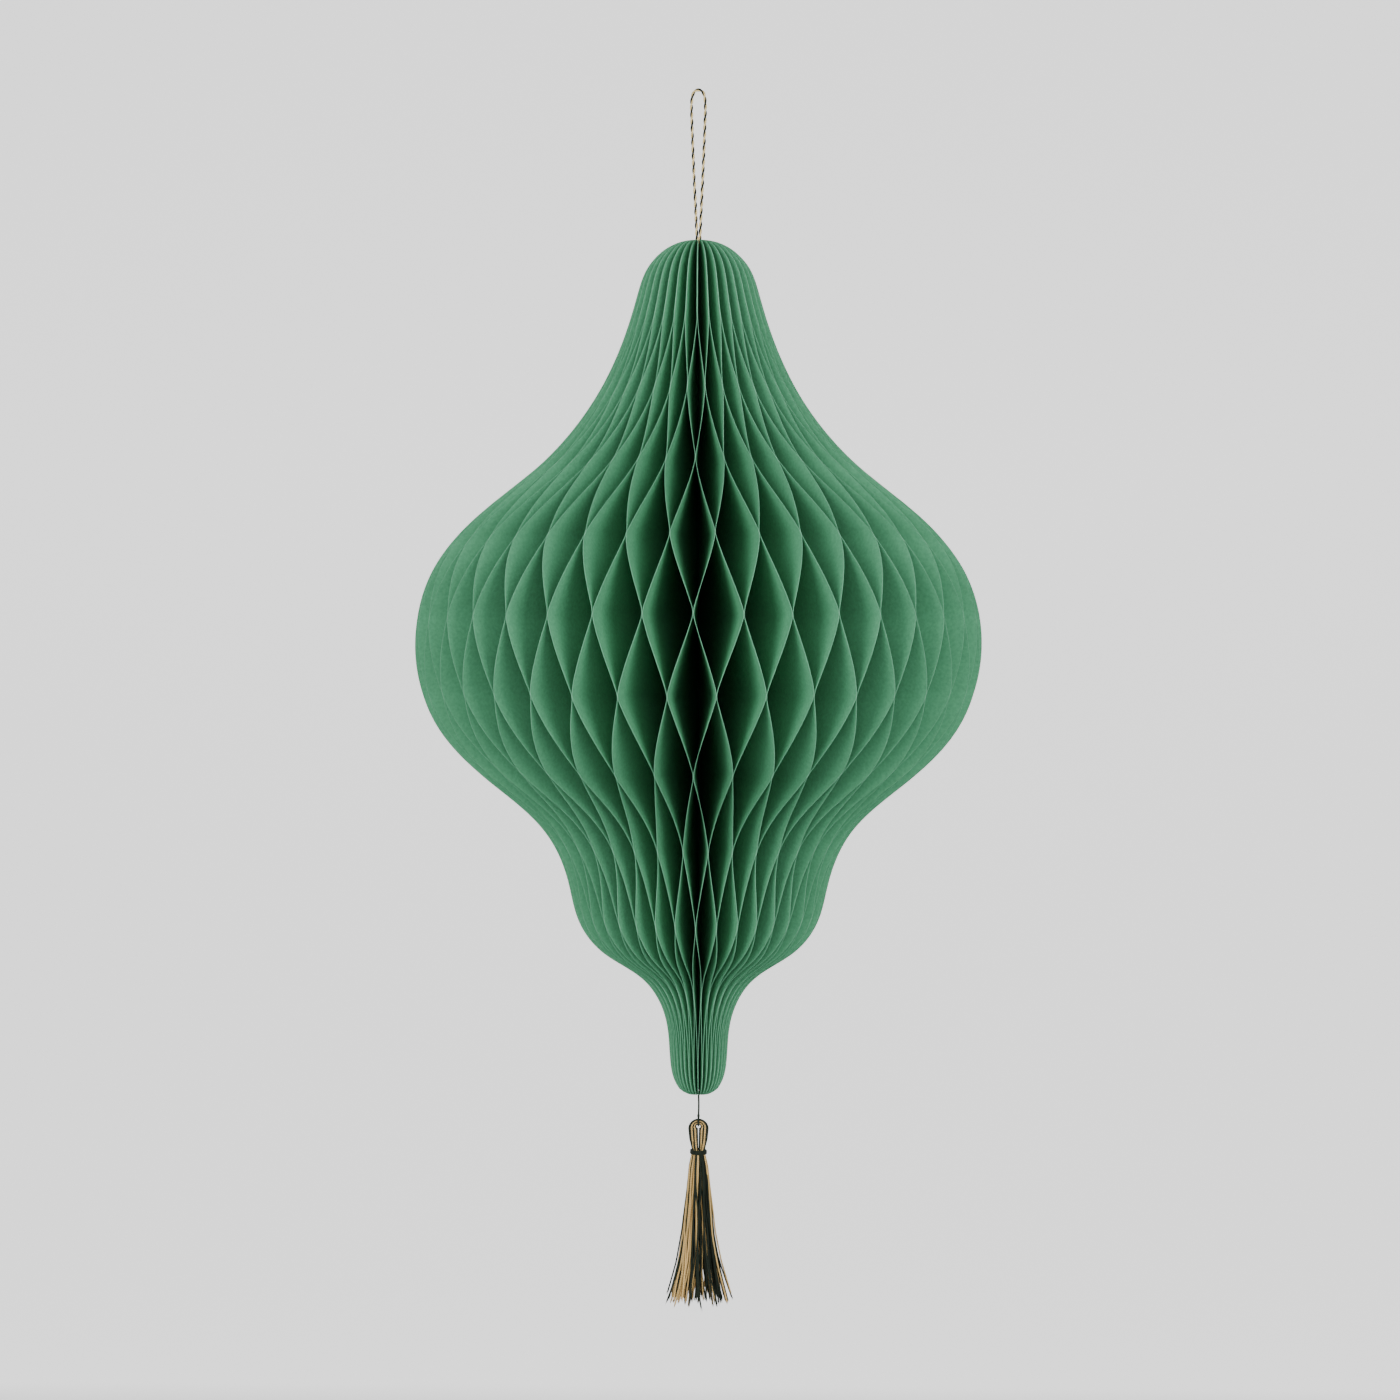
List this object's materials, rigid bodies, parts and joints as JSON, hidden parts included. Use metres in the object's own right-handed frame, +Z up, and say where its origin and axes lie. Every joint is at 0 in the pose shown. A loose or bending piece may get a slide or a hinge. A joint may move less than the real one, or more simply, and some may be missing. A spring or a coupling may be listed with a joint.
{
  "type": "accordion paper lantern",
  "caption": "Honeycomb paper lantern that fans open round its spine, with a twine hanging loop and a yarn tassel.",
  "frame": {"origin": "where a hook carries the inside of the hanging loop's top", "axes": "+Z up along the lantern's spine, +Y towards the seam between the two cover cards, +X to the right of someone who faces the middle leaf pair"},
  "size_m": [0.2592, 0.26, 0.5603],
  "materials": {
    "leaf_paper": "matt uncoated dyed paper, pale cut edges",
    "cover_card": "matt dyed card",
    "magnet": "nickel-plated disc",
    "spine_cord": "twisted cotton",
    "twine": "two-ply twine, one cream ply and one dark green ply",
    "tassel_gold": "soft cotton yarn",
    "tassel_green": "soft cotton yarn"
  },
  "bodies": {
    "loop": {"hanging_loop": "twine"},
    "crown": {"crown_knot": "twine"},
    "core": {"spine_cord": "spine_cord", "top_knot": "spine_cord", "bottom_knot": "spine_cord", "leaf_pair_19": "leaf_paper"},
    "pair_01": {"leaf_pair_01": "leaf_paper"},
    "pair_02": {"leaf_pair_02": "leaf_paper"},
    "pair_03": {"leaf_pair_03": "leaf_paper"},
    "pair_04": {"leaf_pair_04": "leaf_paper"},
    "pair_05": {"leaf_pair_05": "leaf_paper"},
    "pair_06": {"leaf_pair_06": "leaf_paper"},
    "pair_07": {"leaf_pair_07": "leaf_paper"},
    "pair_08": {"leaf_pair_08": "leaf_paper"},
    "pair_09": {"leaf_pair_09": "leaf_paper"},
    "pair_10": {"leaf_pair_10": "leaf_paper"},
    "pair_11": {"leaf_pair_11": "leaf_paper"},
    "pair_12": {"leaf_pair_12": "leaf_paper"},
    "pair_13": {"leaf_pair_13": "leaf_paper"},
    "pair_14": {"leaf_pair_14": "leaf_paper"},
    "pair_15": {"leaf_pair_15": "leaf_paper"},
    "pair_16": {"leaf_pair_16": "leaf_paper"},
    "pair_17": {"leaf_pair_17": "leaf_paper"},
    "pair_18": {"leaf_pair_18": "leaf_paper"},
    "pair_20": {"leaf_pair_20": "leaf_paper"},
    "pair_21": {"leaf_pair_21": "leaf_paper"},
    "pair_22": {"leaf_pair_22": "leaf_paper"},
    "pair_23": {"leaf_pair_23": "leaf_paper"},
    "pair_24": {"leaf_pair_24": "leaf_paper"},
    "pair_25": {"leaf_pair_25": "leaf_paper"},
    "pair_26": {"leaf_pair_26": "leaf_paper"},
    "pair_27": {"leaf_pair_27": "leaf_paper"},
    "pair_28": {"leaf_pair_28": "leaf_paper"},
    "pair_29": {"leaf_pair_29": "leaf_paper"},
    "pair_30": {"leaf_pair_30": "leaf_paper"},
    "pair_31": {"leaf_pair_31": "leaf_paper"},
    "pair_32": {"leaf_pair_32": "leaf_paper"},
    "pair_33": {"leaf_pair_33": "leaf_paper"},
    "pair_34": {"leaf_pair_34": "leaf_paper"},
    "pair_35": {"leaf_pair_35": "leaf_paper"},
    "pair_36": {"leaf_pair_36": "leaf_paper"},
    "pair_37": {"leaf_pair_37": "leaf_paper"},
    "left_cover": {"cover_left": "cover_card", "end_leaf_left": "leaf_paper", "closure_magnets_left": "magnet"},
    "right_cover": {"cover_right": "cover_card", "end_leaf_right": "leaf_paper", "closure_magnets_right": "magnet"},
    "thread": {"tassel_thread": "tassel_green"},
    "tassel": {"tassel_head": "tassel_gold", "tassel_binding": "tassel_green", "tassel_skirt": "tassel_gold"}
  },
  "joints": [
    {"name": "lantern_spin", "type": "hinge", "parent": "loop", "child": "crown", "pos_m": [0, 0, -0.0705], "axis": [0, 0, 1], "range_deg": [-180, 180]},
    {"name": "lantern_swing", "type": "hinge", "parent": "crown", "child": "core", "pos_m": [0, 0, -0.0705], "axis": [1, 0, 0], "range_deg": [-25, 25]},
    {"name": "fan_fold", "type": "hinge", "parent": "core", "child": "pair_18", "pos_m": [-0.00025, -0.00302, -0.266], "axis": [0, 0, 1], "range_deg": [0, 9.2]},
    {"name": "fold_17", "type": "hinge", "parent": "pair_18", "child": "pair_17", "pos_m": [-0.00074, -0.00293, -0.266], "axis": [0, 0, 1], "range_deg": [0, 9.2]},
    {"name": "fold_16", "type": "hinge", "parent": "pair_17", "child": "pair_16", "pos_m": [-0.00122, -0.00277, -0.266], "axis": [0, 0, 1], "range_deg": [0, 9.2]},
    {"name": "fold_15", "type": "hinge", "parent": "pair_16", "child": "pair_15", "pos_m": [-0.00166, -0.00253, -0.266], "axis": [0, 0, 1], "range_deg": [0, 9.2]},
    {"name": "fold_14", "type": "hinge", "parent": "pair_15", "child": "pair_14", "pos_m": [-0.00205, -0.00223, -0.266], "axis": [0, 0, 1], "range_deg": [0, 9.2]},
    {"name": "fold_13", "type": "hinge", "parent": "pair_14", "child": "pair_13", "pos_m": [-0.00239, -0.00186, -0.266], "axis": [0, 0, 1], "range_deg": [0, 9.2]},
    {"name": "fold_12", "type": "hinge", "parent": "pair_13", "child": "pair_12", "pos_m": [-0.00266, -0.00144, -0.266], "axis": [0, 0, 1], "range_deg": [0, 9.2]},
    {"name": "fold_11", "type": "hinge", "parent": "pair_12", "child": "pair_11", "pos_m": [-0.00286, -0.00098, -0.266], "axis": [0, 0, 1], "range_deg": [0, 9.2]},
    {"name": "fold_10", "type": "hinge", "parent": "pair_11", "child": "pair_10", "pos_m": [-0.00299, -0.0005, -0.266], "axis": [0, 0, 1], "range_deg": [0, 9.2]},
    {"name": "fold_09", "type": "hinge", "parent": "pair_10", "child": "pair_09", "pos_m": [-0.00303, 0, -0.266], "axis": [0, 0, 1], "range_deg": [0, 9.2]},
    {"name": "fold_08", "type": "hinge", "parent": "pair_09", "child": "pair_08", "pos_m": [-0.00299, 0.0005, -0.266], "axis": [0, 0, 1], "range_deg": [0, 9.2]},
    {"name": "fold_07", "type": "hinge", "parent": "pair_08", "child": "pair_07", "pos_m": [-0.00286, 0.00098, -0.266], "axis": [0, 0, 1], "range_deg": [0, 9.2]},
    {"name": "fold_06", "type": "hinge", "parent": "pair_07", "child": "pair_06", "pos_m": [-0.00266, 0.00144, -0.266], "axis": [0, 0, 1], "range_deg": [0, 9.2]},
    {"name": "fold_05", "type": "hinge", "parent": "pair_06", "child": "pair_05", "pos_m": [-0.00239, 0.00186, -0.266], "axis": [0, 0, 1], "range_deg": [0, 9.2]},
    {"name": "fold_04", "type": "hinge", "parent": "pair_05", "child": "pair_04", "pos_m": [-0.00205, 0.00223, -0.266], "axis": [0, 0, 1], "range_deg": [0, 9.2]},
    {"name": "fold_03", "type": "hinge", "parent": "pair_04", "child": "pair_03", "pos_m": [-0.00166, 0.00253, -0.266], "axis": [0, 0, 1], "range_deg": [0, 9.2]},
    {"name": "fold_02", "type": "hinge", "parent": "pair_03", "child": "pair_02", "pos_m": [-0.00122, 0.00277, -0.266], "axis": [0, 0, 1], "range_deg": [0, 9.2]},
    {"name": "fold_01", "type": "hinge", "parent": "pair_02", "child": "pair_01", "pos_m": [-0.00074, 0.00293, -0.266], "axis": [0, 0, 1], "range_deg": [0, 9.2]},
    {"name": "fold_left_cover", "type": "hinge", "parent": "pair_01", "child": "left_cover", "pos_m": [-0.00102, 0.00763, -0.266], "axis": [0, 0, 1], "range_deg": [0, 9.2]},
    {"name": "fold_20", "type": "hinge", "parent": "core", "child": "pair_20", "pos_m": [0.00025, -0.00302, -0.266], "axis": [0, 0, -1], "range_deg": [0, 9.2]},
    {"name": "fold_21", "type": "hinge", "parent": "pair_20", "child": "pair_21", "pos_m": [0.00074, -0.00293, -0.266], "axis": [0, 0, -1], "range_deg": [0, 9.2]},
    {"name": "fold_22", "type": "hinge", "parent": "pair_21", "child": "pair_22", "pos_m": [0.00122, -0.00277, -0.266], "axis": [0, 0, -1], "range_deg": [0, 9.2]},
    {"name": "fold_23", "type": "hinge", "parent": "pair_22", "child": "pair_23", "pos_m": [0.00166, -0.00253, -0.266], "axis": [0, 0, -1], "range_deg": [0, 9.2]},
    {"name": "fold_24", "type": "hinge", "parent": "pair_23", "child": "pair_24", "pos_m": [0.00205, -0.00223, -0.266], "axis": [0, 0, -1], "range_deg": [0, 9.2]},
    {"name": "fold_25", "type": "hinge", "parent": "pair_24", "child": "pair_25", "pos_m": [0.00239, -0.00186, -0.266], "axis": [0, 0, -1], "range_deg": [0, 9.2]},
    {"name": "fold_26", "type": "hinge", "parent": "pair_25", "child": "pair_26", "pos_m": [0.00266, -0.00144, -0.266], "axis": [0, 0, -1], "range_deg": [0, 9.2]},
    {"name": "fold_27", "type": "hinge", "parent": "pair_26", "child": "pair_27", "pos_m": [0.00286, -0.00098, -0.266], "axis": [0, 0, -1], "range_deg": [0, 9.2]},
    {"name": "fold_28", "type": "hinge", "parent": "pair_27", "child": "pair_28", "pos_m": [0.00299, -0.0005, -0.266], "axis": [0, 0, -1], "range_deg": [0, 9.2]},
    {"name": "fold_29", "type": "hinge", "parent": "pair_28", "child": "pair_29", "pos_m": [0.00303, 0, -0.266], "axis": [0, 0, -1], "range_deg": [0, 9.2]},
    {"name": "fold_30", "type": "hinge", "parent": "pair_29", "child": "pair_30", "pos_m": [0.00299, 0.0005, -0.266], "axis": [0, 0, -1], "range_deg": [0, 9.2]},
    {"name": "fold_31", "type": "hinge", "parent": "pair_30", "child": "pair_31", "pos_m": [0.00286, 0.00098, -0.266], "axis": [0, 0, -1], "range_deg": [0, 9.2]},
    {"name": "fold_32", "type": "hinge", "parent": "pair_31", "child": "pair_32", "pos_m": [0.00266, 0.00144, -0.266], "axis": [0, 0, -1], "range_deg": [0, 9.2]},
    {"name": "fold_33", "type": "hinge", "parent": "pair_32", "child": "pair_33", "pos_m": [0.00239, 0.00186, -0.266], "axis": [0, 0, -1], "range_deg": [0, 9.2]},
    {"name": "fold_34", "type": "hinge", "parent": "pair_33", "child": "pair_34", "pos_m": [0.00205, 0.00223, -0.266], "axis": [0, 0, -1], "range_deg": [0, 9.2]},
    {"name": "fold_35", "type": "hinge", "parent": "pair_34", "child": "pair_35", "pos_m": [0.00166, 0.00253, -0.266], "axis": [0, 0, -1], "range_deg": [0, 9.2]},
    {"name": "fold_36", "type": "hinge", "parent": "pair_35", "child": "pair_36", "pos_m": [0.00122, 0.00277, -0.266], "axis": [0, 0, -1], "range_deg": [0, 9.2]},
    {"name": "fold_37", "type": "hinge", "parent": "pair_36", "child": "pair_37", "pos_m": [0.00074, 0.00293, -0.266], "axis": [0, 0, -1], "range_deg": [0, 9.2]},
    {"name": "fold_right_cover", "type": "hinge", "parent": "pair_37", "child": "right_cover", "pos_m": [0.00102, 0.00763, -0.266], "axis": [0, 0, -1], "range_deg": [0, 9.2]},
    {"name": "thread_swing", "type": "hinge", "parent": "core", "child": "thread", "pos_m": [0, 0, -0.4615], "axis": [0, 1, 0], "range_deg": [-45, 45]},
    {"name": "tassel_swing", "type": "hinge", "parent": "thread", "child": "tassel", "pos_m": [0, 0, -0.47495], "axis": [1, 0, 0], "range_deg": [-45, 45]}
  ],
  "couplings": [
    {"joint": "fold_17", "follows": "fan_fold", "ratio": 1},
    {"joint": "fold_16", "follows": "fan_fold", "ratio": 1},
    {"joint": "fold_15", "follows": "fan_fold", "ratio": 1},
    {"joint": "fold_14", "follows": "fan_fold", "ratio": 1},
    {"joint": "fold_13", "follows": "fan_fold", "ratio": 1},
    {"joint": "fold_12", "follows": "fan_fold", "ratio": 1},
    {"joint": "fold_11", "follows": "fan_fold", "ratio": 1},
    {"joint": "fold_10", "follows": "fan_fold", "ratio": 1},
    {"joint": "fold_09", "follows": "fan_fold", "ratio": 1},
    {"joint": "fold_08", "follows": "fan_fold", "ratio": 1},
    {"joint": "fold_07", "follows": "fan_fold", "ratio": 1},
    {"joint": "fold_06", "follows": "fan_fold", "ratio": 1},
    {"joint": "fold_05", "follows": "fan_fold", "ratio": 1},
    {"joint": "fold_04", "follows": "fan_fold", "ratio": 1},
    {"joint": "fold_03", "follows": "fan_fold", "ratio": 1},
    {"joint": "fold_02", "follows": "fan_fold", "ratio": 1},
    {"joint": "fold_01", "follows": "fan_fold", "ratio": 1},
    {"joint": "fold_left_cover", "follows": "fan_fold", "ratio": 1},
    {"joint": "fold_20", "follows": "fan_fold", "ratio": 1},
    {"joint": "fold_21", "follows": "fan_fold", "ratio": 1},
    {"joint": "fold_22", "follows": "fan_fold", "ratio": 1},
    {"joint": "fold_23", "follows": "fan_fold", "ratio": 1},
    {"joint": "fold_24", "follows": "fan_fold", "ratio": 1},
    {"joint": "fold_25", "follows": "fan_fold", "ratio": 1},
    {"joint": "fold_26", "follows": "fan_fold", "ratio": 1},
    {"joint": "fold_27", "follows": "fan_fold", "ratio": 1},
    {"joint": "fold_28", "follows": "fan_fold", "ratio": 1},
    {"joint": "fold_29", "follows": "fan_fold", "ratio": 1},
    {"joint": "fold_30", "follows": "fan_fold", "ratio": 1},
    {"joint": "fold_31", "follows": "fan_fold", "ratio": 1},
    {"joint": "fold_32", "follows": "fan_fold", "ratio": 1},
    {"joint": "fold_33", "follows": "fan_fold", "ratio": 1},
    {"joint": "fold_34", "follows": "fan_fold", "ratio": 1},
    {"joint": "fold_35", "follows": "fan_fold", "ratio": 1},
    {"joint": "fold_36", "follows": "fan_fold", "ratio": 1},
    {"joint": "fold_37", "follows": "fan_fold", "ratio": 1},
    {"joint": "fold_right_cover", "follows": "fan_fold", "ratio": 1}
  ]
}
